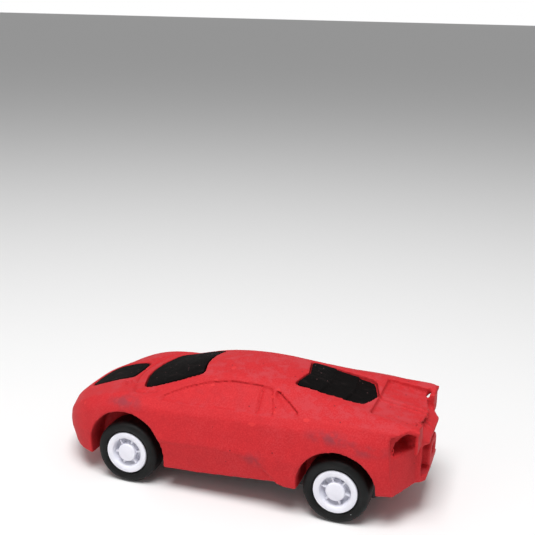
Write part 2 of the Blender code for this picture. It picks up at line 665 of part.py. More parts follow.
def build_mainspring():
    """A flat strip wound from the arbor out to just inside the housing."""
    start = ARBOR_RADIUS + FIT + SPRING_THICKNESS / 2
    end = tip_radius(SPRING_GEAR_TEETH) - FIT - SPRING_THICKNESS / 2
    count = SPRING_TURNS * SPRING_POINTS_A_TURN
    inside, outside = [], []
    for index in range(count + 1):
        share = index / count
        angle = share * SPRING_TURNS * math.tau
        middle = start + (end - start) * share
        for side, points in ((-1, inside), (1, outside)):
            radius = middle + side * SPRING_THICKNESS / 2
            points.append((radius * math.cos(angle), radius * math.sin(angle)))
    mesh = plate_mesh("mainspring", inside + outside[::-1], SPRING_WIDTH)
    place = (SPRING_CENTRE.x, SPRING_PLACE, SPRING_CENTRE.z)
    spring = add_object("mainspring", mesh, SPRING_STEEL, place)
    spring.rotation_euler = (math.pi / 2, 0, 0)


# ---------------------------------------------------------------- motor housing
def screw_place(side):
    """The middle of an ear, over the tray: the left ear is in front, the right one behind."""
    x = MOTOR_HIGH_X + EAR_LENGTH / 2 if side == LEFT else MOTOR_LOW_X - EAR_LENGTH / 2
    return x, side * MOTOR_HALF / 2


def boss_top():
    return TRAY_FLOOR + 2 * TRAY_WALL


def housing_half(name, side, finish):
    """One half of the motor housing, an open shell with an ear at one end."""
    near = PRESS_GAP
    low = (MOTOR_LOW_X, side * near if side == LEFT else -MOTOR_HALF, MOTOR_LOW_Z)
    high = (MOTOR_HIGH_X, MOTOR_HALF if side == LEFT else side * near, MOTOR_HIGH_Z)
    half = box(name, low, high, finish)
    wall = MOTOR_WALL
    past_joint = 1 * MM
    y_low = -past_joint if side == LEFT else wall - MOTOR_HALF
    y_high = MOTOR_HALF - wall if side == LEFT else past_joint
    hollow = box(
        f"{name}_hollow", (MOTOR_LOW_X + wall, y_low, MOTOR_LOW_Z + wall),
        (MOTOR_HIGH_X - wall, y_high, MOTOR_HIGH_Z - wall))
    ear_x, ear_y = screw_place(side)
    ear_half = MOTOR_HALF / 2 - 3 * FIT
    reach = EAR_LENGTH / 2
    ear_low_z = boss_top() + FIT
    inward = wall / 2
    ear_back = ear_x - reach - (inward if side == LEFT else 0)
    ear_front = ear_x + reach + (inward if side == RIGHT else 0)
    ear_low = (ear_back, ear_y - ear_half, ear_low_z)
    ear_high = (ear_front, ear_y + ear_half, ear_low_z + EAR_THICKNESS)
    join(half, box(f"{name}_ear", ear_low, ear_high))
    cut(half, hollow)
    cut(half, rod(
        f"{name}_ear_hole", SCREW_RADIUS + FIT, (ear_x, ear_y, 0),
        (ear_x, ear_y, ear_low_z + EAR_LENGTH), steps=16))
    for centre, radius in (
            (REAR_AXLE, AXLE_RADIUS), (CLUTCH_CENTRE, PIN_RADIUS),
            (IDLER_CENTRE, PIN_RADIUS), (SPRING_CENTRE, ARBOR_RADIUS)):
        start, end = sorted((side * MOTOR_WALL, side * MOTOR_WIDTH))
        bore = cross_rod(f"{name}_bore_{round(centre.x / MM)}", radius + FIT, centre, start, end, steps=16)
        cut(half, bore)


def build_screw(name, side):
    """A slotted pan head screw through an ear into the tray's boss."""
    x, y = screw_place(side)
    under_head = boss_top() + FIT + EAR_THICKNESS + FIT
    head_top = under_head + SCREW_RADIUS * 1.2
    tip = TRAY_FLOOR + SCREW_FLOOR + FIT
    screw = rod(name, SCREW_HEAD_RADIUS, (x, y, under_head), (x, y, head_top), STEEL, steps=16)
    join(screw, rod(f"{name}_shank", SCREW_RADIUS, (x, y, tip), (x, y, head_top - PRESS_GAP), steps=12))
    slot = 0.2 * MM
    reach = SCREW_HEAD_RADIUS * 2
    cut(screw, box(
        f"{name}_slot", (x - slot, y - reach, head_top - 2 * slot), (x + slot, y + reach, head_top + slot)))


# ---------------------------------------------------------------- chassis tray
def tray_block(name, x, side, width, top, finish=None):
    y_near, y_far = sorted((side * (TRAY_HALF - TRAY_WALL - FIT), side * TRAY_HALF))
    return box(name, (x - width / 2, y_near, TRAY_FLOOR), (x + width / 2, y_far, top), finish)


def tray_outline(inset):
    """The tray seen from above, with cut corners, drawn in from its edge by the inset."""
    corner = 1.5 * MM
    half = TRAY_HALF - inset
    nose = TRAY_FRONT - inset
    tail = TRAY_BACK + inset
    return mirrored([
        (nose, 0), (nose, half - corner), (nose - corner, half),
        (tail + corner, half), (tail, half - corner), (tail, 0)])


def build_tray():
    height = TRAY_RIM - TRAY_FLOOR
    middle = TRAY_FLOOR + height / 2
    tray = add_object("chassis_tray", plate_mesh("chassis_tray", tray_outline(0), height), BLACK_PLASTIC)
    tray.location.z = middle
    hollow = add_object("tray_hollow", plate_mesh("tray_hollow", tray_outline(TRAY_WALL), height))
    hollow.location.z = middle + TRAY_WALL
    cut(tray, hollow)
    block = 2 * (AXLE_RADIUS + AXLE_PLAY + BEARING_WALL)
    for side, side_name in ((LEFT, "left"), (RIGHT, "right")):
        near, far = sorted((side * (TRAY_HALF - TRAY_WALL / 2), side * WING_WIDTH / 2))
        wing_under = TRAY_RIM - TRAY_WALL
        join(tray, box(
            f"{side_name}_wing", (MIDWAY - WING_LENGTH / 2, near, wing_under),
            (MIDWAY + WING_LENGTH / 2, far, TRAY_RIM)))
        join(tray, tray_block(f"{side_name}_front_bearing", FRONT_AXLE.x, side, block, BEARING_TOP))
        join(tray, tray_block(f"{side_name}_rear_fork", REAR_AXLE.x, side, block, BEARING_TOP))
        x, y = screw_place(side)
        join(tray, rod(
            f"{side_name}_boss", SCREW_HEAD_RADIUS + FIT, (x, y, TRAY_FLOOR), (x, y, boss_top()), steps=16))
    for place in PLUG_PLACES:
        join(tray, rod(
            f"plug_{round(place / MM)}", PLUG_RADIUS, (MIDWAY + place, 0, TRAY_FLOOR + TRAY_WALL / 2),
            (MIDWAY + place, 0, PLUG_TOP), steps=16))
    window = MOTOR_HALF + FIT
    cut(tray, box(
        "motor_window", (MOTOR_LOW_X - FIT, -window, 0), (MOTOR_HIGH_X + FIT, window, MOTOR_HIGH_Z)))
    bore = AXLE_RADIUS + AXLE_PLAY
    cut(tray, cross_rod("front_axle_bore", bore, FRONT_AXLE, -HALF_WIDTH, HALF_WIDTH, steps=16))
    cut(tray, box(
        "rear_axle_slot", (REAR_AXLE.x - bore, -HALF_WIDTH, REAR_AXLE.z - bore),
        (REAR_AXLE.x + bore, HALF_WIDTH, BEARING_TOP * 1.5)))
    for side, side_name in ((LEFT, "left"), (RIGHT, "right")):
        x, y = screw_place(side)
        cut(tray, rod(
            f"{side_name}_boss_hole", SCREW_RADIUS + FIT, (x, y, TRAY_FLOOR + SCREW_FLOOR),
            (x, y, BEARING_TOP), steps=12))


clear_scene()
PARTS = new_collection("pull_back_car")
CUTTERS = new_collection("cutters")
build_body()
build_wheels()
build_gears()
build_mainspring()
housing_half("motor_case", LEFT, GREY_PLASTIC)
housing_half("motor_cover", RIGHT, GREY_PLASTIC)
build_screw("motor_front_screw", LEFT)
build_screw("motor_rear_screw", RIGHT)
build_tray()
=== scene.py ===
"""Looks of the pull back car: its moulded rubber body, black inserts, tyres and rims.

Sizes are in metres. x runs forward, y to the car's left and z up; places on the car
are given in millimetres from the point on the ground midway between the axles.
"""

import math

import bpy
from mathutils import Matrix, Vector


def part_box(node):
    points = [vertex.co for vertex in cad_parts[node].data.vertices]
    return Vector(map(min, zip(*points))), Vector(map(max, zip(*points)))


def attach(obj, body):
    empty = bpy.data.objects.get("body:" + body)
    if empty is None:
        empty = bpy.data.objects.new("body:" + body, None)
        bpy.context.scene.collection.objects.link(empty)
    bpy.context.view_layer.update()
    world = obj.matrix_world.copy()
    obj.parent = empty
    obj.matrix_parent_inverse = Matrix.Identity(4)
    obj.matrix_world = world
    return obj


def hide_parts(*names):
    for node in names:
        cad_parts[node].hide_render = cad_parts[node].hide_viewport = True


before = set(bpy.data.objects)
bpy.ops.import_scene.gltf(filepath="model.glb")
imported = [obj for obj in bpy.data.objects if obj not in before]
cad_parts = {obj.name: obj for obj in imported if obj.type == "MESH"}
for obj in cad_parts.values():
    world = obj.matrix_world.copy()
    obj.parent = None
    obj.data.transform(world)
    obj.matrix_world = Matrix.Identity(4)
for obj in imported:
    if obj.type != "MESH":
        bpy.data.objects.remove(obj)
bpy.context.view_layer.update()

MM = 0.001
MERGE = 0.00001
BAR_STEPS = 96


def middle_of(node):
    low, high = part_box(node)
    return (low + high) / 2


FRONT_AXLE = middle_of("front_axle")
REAR_AXLE = middle_of("rear_axle")
MIDWAY = (FRONT_AXLE.x + REAR_AXLE.x) / 2
DRAWN_AXLE_HEIGHT = 7.2
RISE = FRONT_AXLE.z - DRAWN_AXLE_HEIGHT * MM


def at(x, y, z):
    """A place on the car from drawn millimetres: ahead of midway, leftwards and up."""
    return Vector((MIDWAY + x * MM, y * MM, z * MM + RISE))


# ---------------------------------------------------------------- modelling by hand
def only(*objects):
    """Select these objects alone, the first one active."""
    bpy.ops.object.select_all(action="DESELECT")
    for obj in objects:
        obj.select_set(True)
    bpy.context.view_layer.objects.active = objects[0]


def edit(obj):
    only(obj)
    bpy.ops.object.mode_set(mode="EDIT")
    bpy.ops.mesh.select_all(action="SELECT")


def stop_editing():
    bpy.ops.object.mode_set(mode="OBJECT")


def tidy_faces(obj):
    """Merge what coincides and point every face outwards."""
    edit(obj)
    bpy.ops.mesh.remove_doubles(threshold=MERGE)
    bpy.ops.mesh.normals_make_consistent(inside=False)
    stop_editing()
    return obj


def shape(obj, kind, **settings):
    """Add a modifier with these settings and apply it."""
    only(obj)
    modifier = obj.modifiers.new(kind.lower(), kind)
    for name, value in settings.items():
        setattr(modifier, name, value)
    bpy.ops.object.modifier_apply(modifier=modifier.name)
    return obj


def drop(obj):
    """Remove an object that is no longer needed."""
    bpy.data.objects.remove(obj, do_unlink=True)


def carve(obj, tool, operation="DIFFERENCE"):
    """Combine an object with a tool, and use the tool up."""
    shape(obj, "BOOLEAN", object=tool, operation=operation, solver="EXACT")
    drop(tool)
    return obj


def copy_of(obj, name, matrix=Matrix.Identity(4)):
    twin = obj.copy()
    twin.data = obj.data.copy()
    twin.data.transform(matrix)
    twin.name = name
    bpy.context.scene.collection.objects.link(twin)
    return twin


def round_off(obj, angle):
    """Shade smoothly over edges that bend less than this many degrees."""
    only(obj)
    bpy.ops.object.shade_smooth_by_angle(angle=math.radians(angle))
    return obj


def block(low, high):
    """A box between two corners."""
    low, high = Vector(low), Vector(high)
    bpy.ops.mesh.primitive_cube_add(size=1)
    cube = bpy.context.object
    cube.data.transform(Matrix.Translation((low + high) / 2) @ Matrix.Diagonal((*(high - low), 1)))
    return cube


def cross_bar(radius, centre, y_from, y_to):
    """A round bar across the car."""
    bpy.ops.mesh.primitive_cylinder_add(
        vertices=BAR_STEPS, radius=radius, depth=abs(y_to - y_from))
    bar = bpy.context.object
    place = Vector((centre.x, (y_from + y_to) / 2, centre.z))
    bar.data.transform(Matrix.Translation(place) @ Matrix.Rotation(math.pi / 2, 4, "X"))
    return bar


def plate(outline, depth, far_outline=None):
    """A plate over an outline, from z = 0 up; its far face may follow another outline."""
    bpy.ops.mesh.primitive_circle_add(vertices=len(outline), fill_type="NGON")
    flat = bpy.context.object
    for vertex, (x, y) in zip(flat.data.vertices, outline):
        vertex.co = (x, y, 0)
    edit(flat)
    bpy.ops.mesh.extrude_region_move(TRANSFORM_OT_translate={"value": (0, 0, depth)})
    stop_editing()
    if far_outline:
        for vertex in flat.data.vertices:
            if abs(vertex.co.z) > abs(depth) / 2:
                near = [(vertex.co.xy - Vector(point)).length for point in outline]
                vertex.co = (*far_outline[near.index(min(near))], vertex.co.z)
    return flat


def in_metres(outline):
    return [(first * MM, second * MM) for first, second in outline]


def side_plate(outline, y_from, y_to):
    """A plate that faces sideways, over an outline of (x, z) in millimetres."""
    flat = plate(in_metres(outline), (y_to - y_from) * MM)
    turn = Matrix(((1, 0, 0, MIDWAY), (0, 0, 1, y_from * MM), (0, 1, 0, RISE), (0, 0, 0, 1)))
    flat.data.transform(turn)
    return tidy_faces(flat)


def top_plate(outline, z_from, z_to):
    """A plate that lies level, over an outline of (x, y) in millimetres."""
    flat = plate(in_metres(outline), (z_to - z_from) * MM)
    flat.data.transform(Matrix.Translation(at(0, 0, z_from)))
    return tidy_faces(flat)


def whole(half):
    """Both sides of an outline whose first and last points lie on the middle."""
    return half + [(x, -y) for x, y in reversed(half) if y > 0]


# ---------------------------------------------------------------- body form
# Each line runs from nose to tail, with one (x, y, z) at each station.
CENTRE_LINE = [
    (46.0, 0, 11.0), (44.6, 0, 14.2), (41.0, 0, 17.0), (36.0, 0, 19.0),
    (30.0, 0, 21.2), (25.0, 0, 21.8), (19.0, 0, 24.5), (9.7, 0, 27.8),
    (0.0, 0, 28.8), (-7.0, 0, 28.6), (-12.2, 0, 27.7), (-18.5, 0, 26.3),
    (-25.0, 0, 24.9), (-30.5, 0, 23.8), (-36.4, 0, 22.7), (-41.4, 0, 21.8)]
RIDGE_LINE = [
    (46.0, 2.6, 10.8), (44.4, 4.5, 14.0), (41.0, 6.2, 17.0), (36.0, 7.2, 19.2),
    (30.0, 7.0, 21.2), (25.0, 9.4, 21.6), (19.0, 10.4, 23.2), (9.7, 8.6, 26.6),
    (0.0, 8.8, 27.4), (-7.0, 8.5, 27.3), (-12.2, 8.2, 26.9), (-18.5, 9.0, 26.0),
    (-25.0, 10.2, 25.0), (-30.5, 11.2, 24.3), (-36.4, 12.6, 23.8), (-41.7, 13.6, 23.3)]
BELT_LINE = [
    (45.8, 5.2, 10.0), (43.6, 9.0, 12.4), (40.2, 12.0, 15.6), (35.6, 13.6, 18.6),
    (30.0, 14.2, 20.8), (25.0, 14.6, 21.6), (19.0, 14.9, 21.7), (9.7, 15.3, 21.4),
    (0.0, 15.5, 21.8), (-7.0, 15.6, 22.1), (-12.2, 15.7, 22.5), (-18.5, 15.8, 22.9),
    (-25.0, 15.8, 23.0), (-30.5, 15.7, 22.9), (-36.2, 15.4, 22.3), (-41.5, 14.6, 21.9)]
SHOULDER_LINE = [
    (45.6, 5.8, 8.8), (43.2, 10.2, 10.4), (39.8, 13.8, 13.0), (35.3, 15.9, 16.4),
    (30.0, 16.9, 18.6), (25.0, 17.2, 19.6), (19.0, 17.1, 19.6), (9.7, 16.8, 19.6),
    (0.0, 16.8, 20.0), (-7.0, 16.9, 20.2), (-12.2, 17.1, 20.4), (-18.5, 17.5, 20.4),
    (-25.0, 17.6, 20.0), (-30.5, 17.2, 19.8), (-36.4, 15.8, 19.5), (-43.2, 14.6, 18.4)]
CREASE_LINE = [
    (45.4, 5.8, 7.6), (42.8, 10.6, 8.6), (39.4, 14.4, 9.8), (35.0, 16.7, 11.2),
    (30.0, 17.6, 12.4), (25.0, 18.0, 12.8), (19.0, 18.0, 12.7), (9.7, 17.9, 12.9),
    (0.0, 17.9, 13.2), (-7.0, 17.9, 12.6), (-12.2, 17.9, 12.8), (-18.5, 18.0, 13.1),
    (-25.0, 18.0, 13.2), (-30.5, 17.6, 13.2), (-36.6, 15.9, 13.4), (-43.3, 14.7, 13.2)]
SILL_LINE = [
    (44.8, 5.0, 6.0), (42.0, 10.0, 5.4), (39.0, 13.6, 4.8), (35.0, 15.8, 4.8),
    (30.0, 16.6, 4.9), (25.0, 17.0, 5.0), (19.0, 17.1, 5.1), (9.7, 17.1, 5.4),
    (0.0, 17.1, 5.9), (-7.0, 17.2, 6.4), (-12.2, 17.5, 6.4), (-18.5, 17.6, 6.2),
    (-25.0, 17.1, 6.6), (-30.5, 16.9, 7.0), (-36.2, 15.5, 7.8), (-42.6, 14.4, 6.8)]
# The lines close on these columns, one place for each line from the top down.
NOSE_COLUMN = [
    (46.4, 0, 11.4), (46.5, 0, 11.0), (46.5, 0, 10.2),
    (46.5, 0, 9.2), (46.3, 0, 7.8), (45.4, 0, 6.2)]
TAIL_COLUMN = [
    (-41.9, 0, 21.6), (-42.2, 0, 21.2), (-42.6, 0, 20.2),
    (-43.2, 0, 18.2), (-43.4, 0, 13.2), (-42.9, 0, 6.6)]
# How sharp each line is, from the centre line to the middle of the underside.
LINE_CREASES = (0, 0.45, 0.6, 0.45, 0.75, 0.85, 0)
TAIL_CREASE = 0.9
FORM_LEVELS = 3


def body_form(name):
    """The body's whole outer form, lofted over its lines and smoothed."""
    lines = [CENTRE_LINE, RIDGE_LINE, BELT_LINE, SHOULDER_LINE, CREASE_LINE, SILL_LINE]
    grid = [[nose] + line + [tail] for nose, line, tail in zip(NOSE_COLUMN, lines, TAIL_COLUMN)]
    grid.append([(x, 0, z) for x, _, z in grid[-1]])
    rows, columns = len(grid), len(grid[0])
    bpy.ops.mesh.primitive_grid_add(x_subdivisions=columns - 1, y_subdivisions=rows - 1, size=1)
    form = bpy.context.object
    form.name = name
    mesh = form.data
    ordered = sorted(
        mesh.vertices, key=lambda vertex: (round(vertex.co.y * (rows - 1)), vertex.co.x))
    cells = {}
    for index, vertex in enumerate(ordered):
        row, column = divmod(index, columns)
        vertex.co = at(*grid[row][column])
        cells[vertex.index] = (row, column)
    creases = mesh.attributes.new("crease_edge", "FLOAT", "EDGE")
    for edge, crease in zip(mesh.edges, creases.data):
        (row, column), (other_row, _) = (cells[index] for index in edge.vertices)
        if row == other_row:
            crease.value = LINE_CREASES[row]
        elif column == columns - 2:
            crease.value = TAIL_CREASE
    tidy_faces(form)
    shape(form, "MIRROR", use_axis=(False, True, False), merge_threshold=MERGE)
    shape(form, "SUBSURF", levels=FORM_LEVELS, render_levels=FORM_LEVELS)
    return tidy_faces(form)


def skin_tool(form, tool, shift):
    """Cut a tool down to what lies outside the form once that is moved inwards by a shift."""
    return carve(tool, copy_of(form, "core", Matrix.Translation(shift)))


def down(depth):
    """A shift straight down by this many millimetres."""
    return Vector((0, 0, -depth * MM))


GLASS_INWARDS = Vector((0, -0.65, -0.75))


def inwards(depth):
    """A shift into the left side's sloping glass by this many millimetres."""
    return GLASS_INWARDS * depth * MM


# ---------------------------------------------------------------- cuts in the body
# Limits of the tools, in millimetres, that reach past the body on each side.
BEHIND = -50
UNDERNEATH = -10
OVERHEAD = 30
OUTSIDE = 30
PAST_MIDDLE = -1

# Half outlines of (x, y) over the black inserts, from the middle round to the middle.
HOOD_OUTLINE = [
    (41.0, 0.0), (40.6, 2.6), (39.9, 4.9), (39.0, 6.0), (38.0, 6.4),
    (34.0, 6.3), (30.0, 5.6), (28.9, 5.0), (28.4, 3.8), (28.3, 0.0)]
WINDSCREEN_OUTLINE = [
    (25.4, 0.0), (25.2, 2.6), (24.8, 5.0), (24.1, 7.4), (23.4, 9.6),
    (22.7, 10.8), (21.8, 11.2), (20.6, 11.1), (15.0, 9.9), (10.4, 8.6),
    (9.4, 8.0), (9.2, 7.0), (9.9, 4.2), (10.3, 1.8), (10.4, 0.0)]
ENGINE_OUTLINE = [
    (-13.7, 0.0), (-12.5, 6.0), (-12.5, 6.9), (-13.3, 7.4), (-17.9, 7.4), (-18.6, 7.6),
    (-23.4, 7.4), (-24.1, 7.6), (-27.0, 7.4), (-28.0, 6.9), (-28.5, 6.2), (-30.4, 0.0)]
INSERT_GAP = 0.35
INSERT_DEPTH = 1.5
# Each span gives the two ends of a tool, in millimetres.
PANEL_TOOL_SPAN = (12, 34)


def panel_tool(outline, inset):
    """An upright tool over an insert's outline, drawn in from its edge."""
    half = [Vector((x, y)) for x, y in outline]
    centre = Vector(((half[0].x + half[-1].x) / 2, 0))
    reach = abs(half[0].x - half[-1].x) / 2
    width = max(point.y for point in half)
    points = []
    for point in half:
        away = point - centre
        points.append((
            centre.x + away.x * (reach - inset) / reach, away.y * (width - inset) / width))
    return top_plate(whole(points), *PANEL_TOOL_SPAN)


# Each axle with the radius of its arches, whose centres lie above the axle.
ARCHES = ((FRONT_AXLE, 9.5), (REAR_AXLE, 8.7))
ARCH_RISE = 1.0
WELL_WALL = 9.7
WELL_SLOT_SHARE = 0.995


def wheel_well(axle, radius):
    """The room for a left wheel: a round arch, open outwards and downwards."""
    centre = axle + Vector((0, 0, ARCH_RISE * MM))
    well = cross_bar(radius * MM, centre, WELL_WALL * MM, OUTSIDE * MM)
    reach = radius * WELL_SLOT_SHARE * MM
    low = Vector((centre.x - reach, WELL_WALL * MM, UNDERNEATH * MM))
    return carve(well, block(low, (centre.x + reach, OUTSIDE * MM, centre.z)), "UNION")


HOLLOW_ROOM = 0.3
TRAY_HOLLOW_SIDE, TRAY_HOLLOW_TOP = 8.8, 12
WIDE_HOLLOW_END, WIDE_HOLLOW_SIDE, WIDE_HOLLOW_TOP = 13.7, 12.5, 11.4
MOTOR_HOLLOW_SIDE = 6.9


def cavity():
    """The hollow above the tray and round the motor, left half."""
    tray_low, tray_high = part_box("chassis_tray")
    motor_low, motor_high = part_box("motor_case")
    room = HOLLOW_ROOM * MM
    y, z = PAST_MIDDLE * MM, UNDERNEATH * MM
    hollow = block(
        (tray_low.x - room, y, z),
        (tray_high.x + room, TRAY_HOLLOW_SIDE * MM, TRAY_HOLLOW_TOP * MM))
    between_wheels = block(
        at(-WIDE_HOLLOW_END, PAST_MIDDLE, UNDERNEATH),
        at(WIDE_HOLLOW_END, WIDE_HOLLOW_SIDE, WIDE_HOLLOW_TOP))
    carve(hollow, between_wheels, "UNION")
    over_motor = block(
        (motor_low.x - room, y, z),
        (motor_high.x + room, MOTOR_HOLLOW_SIDE * MM, motor_high.z + room))
    return carve(hollow, over_motor, "UNION")


# Each cut beside the glass is an outline of (x, z) and a depth, in this order:
# the window, the grooves in its pillar, behind it and in its front corner, and
# the two steps of the three-cornered scoop.
GLASS_CUTS = [
    ([(18.2, 21.4), (14.8, 22.9), (11.0, 24.3), (6.0, 25.7), (1.0, 26.4), (-3.0, 26.5),
      (-8.2, 26.2), (-10.4, 22.0), (-4.0, 21.9), (5.3, 21.6), (14.2, 21.3)], 0.55),
    ([(-5.2, 25.6), (-6.3, 25.6), (-6.6, 21.8), (-5.9, 21.8)], 0.95),
    ([(-8.2, 25.4), (-8.8, 25.2), (-10.1, 21.9), (-9.5, 21.9)], 0.9),
    ([(14.6, 22.4), (15.0, 22.2), (15.0, 20.6), (14.6, 20.6)], 0.6),
    ([(-9.0, 26.0), (-16.4, 22.9), (-15.2, 22.4), (-9.9, 22.0)], 0.35),
    ([(-9.2, 26.0), (-16.4, 22.9), (-14.6, 22.5), (-12.6, 23.0), (-9.4, 25.0)], 0.75)]
GLASS_TOOL_SPAN = (7, 20)


def cut_windows(body, form):
    """The left side window, its grooves and the scoop behind it."""
    for outline, depth in GLASS_CUTS:
        tool = side_plate(outline, *GLASS_TOOL_SPAN)
        carve(body, skin_tool(form, tool, inwards(depth)))


SILL_PANEL = [(16.5, 12.5), (2, 13.1), (-7.2, 12.2), (-12.3, 6.6), (-12.3, 2), (16.5, 2)]
SILL_PANEL_SPAN = (17.2, 24)
SILL_HINGE_SIDE, SILL_HINGE_HEIGHT = 17.75, 12.6
SILL_LEAN = -10
SILL_UNDERSIDE = [
    (17, -5), (17, 5.0), (14.5, 5.1), (-12.0, 7.1), (-14.0, 6.3), (-14.0, -5)]
SILL_UNDERSIDE_SPAN = (12.6, 24)


def cut_sill(body):
    """The flat sill panel that leans inwards below the crease, and the sill's lower edge."""
    panel = side_plate(SILL_PANEL, *SILL_PANEL_SPAN)
    hinge = at(0, SILL_HINGE_SIDE, SILL_HINGE_HEIGHT)
    lean = Matrix.Translation(hinge) @ Matrix.Rotation(math.radians(SILL_LEAN), 4, "X")
    drawn_hinge = at(0, SILL_PANEL_SPAN[0], SILL_HINGE_HEIGHT)
    panel.data.transform(lean @ Matrix.Translation(-drawn_hinge))
    carve(body, panel)
    carve(body, side_plate(SILL_UNDERSIDE, *SILL_UNDERSIDE_SPAN))


# ---------------------------------------------------------------- the tail
# The chamfered corner seen from above: its outer and its inner end.
CORNER = Vector((-36.3, 15.65))
CORNER_INNER = Vector((-40.9, 8.5))
CORNER_TOOL_CAP = 3


def corner_plate(outline, depth, far_outline=None, lean=0.0):
    """A tool into the chamfered corner, over (along it, up) from its outer edge."""
    far = in_metres(far_outline or outline)
    tool = plate(in_metres(outline), -depth * MM, far)
    tool.data.transform(Matrix.Rotation(math.radians(lean), 4, "X"))
    for vertex in tool.data.vertices:
        if vertex.co.z > -depth * MM / 2:
            vertex.co.z += CORNER_TOOL_CAP * MM
    along = (CORNER_INNER - CORNER).normalized()
    turn = Matrix((
        (along.x, 0, along.y, 0), (along.y, 0, -along.x, 0), (0, 1, 0, 0), (0, 0, 0, 1)))
    tool.data.transform(Matrix.Translation(at(CORNER.x, CORNER.y, 0)) @ turn)
    return tidy_faces(tool)


# The plane under the fender sheet: a place on it, and its slopes along x and y.
FIN_X, FIN_Y, FIN_HEIGHT = -35.6, 15.8, 20.9
FIN_SLOPE_X, FIN_SLOPE_Y = -0.747, 0.5575


def under_fin(x, y):
    """Height of the plane under the fender sheet, behind the chamfered corner."""
    return FIN_HEIGHT + FIN_SLOPE_X * (x - FIN_X) + FIN_SLOPE_Y * (y - FIN_Y)


# The chamfer's outlines of (x, y) at its foot and at its head, and its lowest level.
CHAMFER_FOOT = [
    (-37.9, 15.4), (-37.2, OUTSIDE), (BEHIND, OUTSIDE), (BEHIND, 8.5), (-41.3, 8.5)]
CHAMFER_HEAD = [
    (-35.6, 15.8), (-35.2, OUTSIDE), (BEHIND, OUTSIDE), (BEHIND, 8.5), (-40.75, 8.5)]
CHAMFER_START, CHAMFER_HEIGHT = 2, 19
CHAMFER_HEAD_ABOVE = 12


def cut_chamfer(body):
    """The chamfered rear corner, under a fender sheet that runs on over it."""
    chamfer = plate(in_metres(CHAMFER_FOOT), CHAMFER_HEIGHT * MM, in_metres(CHAMFER_HEAD))
    chamfer.data.transform(Matrix.Translation(at(0, 0, CHAMFER_START)))
    for vertex in chamfer.data.vertices:
        place = (vertex.co - at(0, 0, 0)) / MM
        if place.z > CHAMFER_HEAD_ABOVE:
            vertex.co.z = under_fin(place.x, place.y) * MM + RISE
    carve(body, tidy_faces(chamfer))


def cut_deck(body):
    """The level deck between the fender sheets, its lip and the steps beside it."""
    over_deck = [
        (-30.4, 23.3), (-41.6, 21.4), (BEHIND, 21.1), (BEHIND, OVERHEAD), (-30.4, OVERHEAD)]
    carve(body, side_plate(over_deck, PAST_MIDDLE, 10.2))
    behind_lip = [
        (-41.3, -1), (-41.1, 3), (-39.5, 9.8), (-40.0, 10.8), (-41.5, 11.0),
        (BEHIND, 11.0), (BEHIND, -1)]
    carve(body, top_plate(behind_lip, 20.2, OVERHEAD))
    step = [(-38.6, 10.6), (-38.6, 13.7), (-41.9, 13.5), (-41.4, 10.6)]
    carve(body, top_plate(step, 22.0, 22.9), "UNION")
    below_lip = [(-43.2, 17.9), (-39.8, 20.2), (-39.8, 20.8), (BEHIND, 20.8), (BEHIND, 17.0)]
    carve(body, side_plate(below_lip, PAST_MIDDLE, 8.1))


def cut_tail_face(body):
    """The middle of the tail, with the recess that holds the exhaust."""
    beside_middle = [(-41.4, 8.7), (-43.2, 6.6), (BEHIND, 6.6), (BEHIND, 8.7)]
    carve(body, top_plate(beside_middle, 2, 20.8))
    recess = [(-39.8, 7.9), (-41.0, 5.4), (-41.4, -1), (BEHIND, -1), (BEHIND, 7.9)]
    carve(body, top_plate(recess, 10.0, 17.3))


def cut_intakes(body):
    """The tapering intake in the chamfered corner, with the shallow panels round it."""
    mouth = [(0.8, 15.6), (1.4, 19.8), (4.8, 21.3), (7.9, 21.2), (7.9, 16.7)]
    throat = [(1.3, 17.9), (1.9, 19.9), (4.8, 20.9), (7.5, 20.7), (7.5, 18.2)]
    carve(body, corner_plate(mouth, 3.6, throat))
    beside_mouth = [(0.25, 21.6), (1.6, 21.6), (1.4, 19.8), (0.8, 15.6), (0.5, 16.4)]
    carve(body, corner_plate(beside_mouth, 0.8))
    below_mouth = [(0.8, 9.8), (0.8, 14.9), (7.7, 16.0), (7.7, 9.8)]
    carve(body, corner_plate(below_mouth, 0.8, lean=-4))


def cut_tail(body):
    """The whole tail but for the exhaust, left half."""
    cut_chamfer(body)
    cut_deck(body)
    cut_tail_face(body)
    cut_intakes(body)
    underside = [
        (-34.0, -5), (-34.0, 6.4), (-36.7, 7.6), (-41.0, 8.6), (BEHIND, 8.8), (BEHIND, -5)]
    carve(body, side_plate(underside, PAST_MIDDLE, OUTSIDE))
    upper_wall = [(-40.4, 8.0), (-40.9, 12.9), (-41.6, 13.4), (-41.7, 8.0)]
    carve(body, top_plate(upper_wall, 17.4, 22.6), "UNION")


EXHAUST_OUTLINE = [
    (4.4, 1.5), (3.0, 2.8), (-3.0, 2.8), (-4.4, 1.5),
    (-4.4, -1.5), (-3.0, -2.8), (3.0, -2.8), (4.4, -1.5)]
EXHAUST_LENGTH = 2.2
EXHAUST_BORE_FLOOR, EXHAUST_BORE_LENGTH = 1.4, 2
EXHAUST_BORE_WIDTH, EXHAUST_BORE_HEIGHT = 0.5, 0.42
EXHAUST_BASE = (-41.0, 0, 13.2)


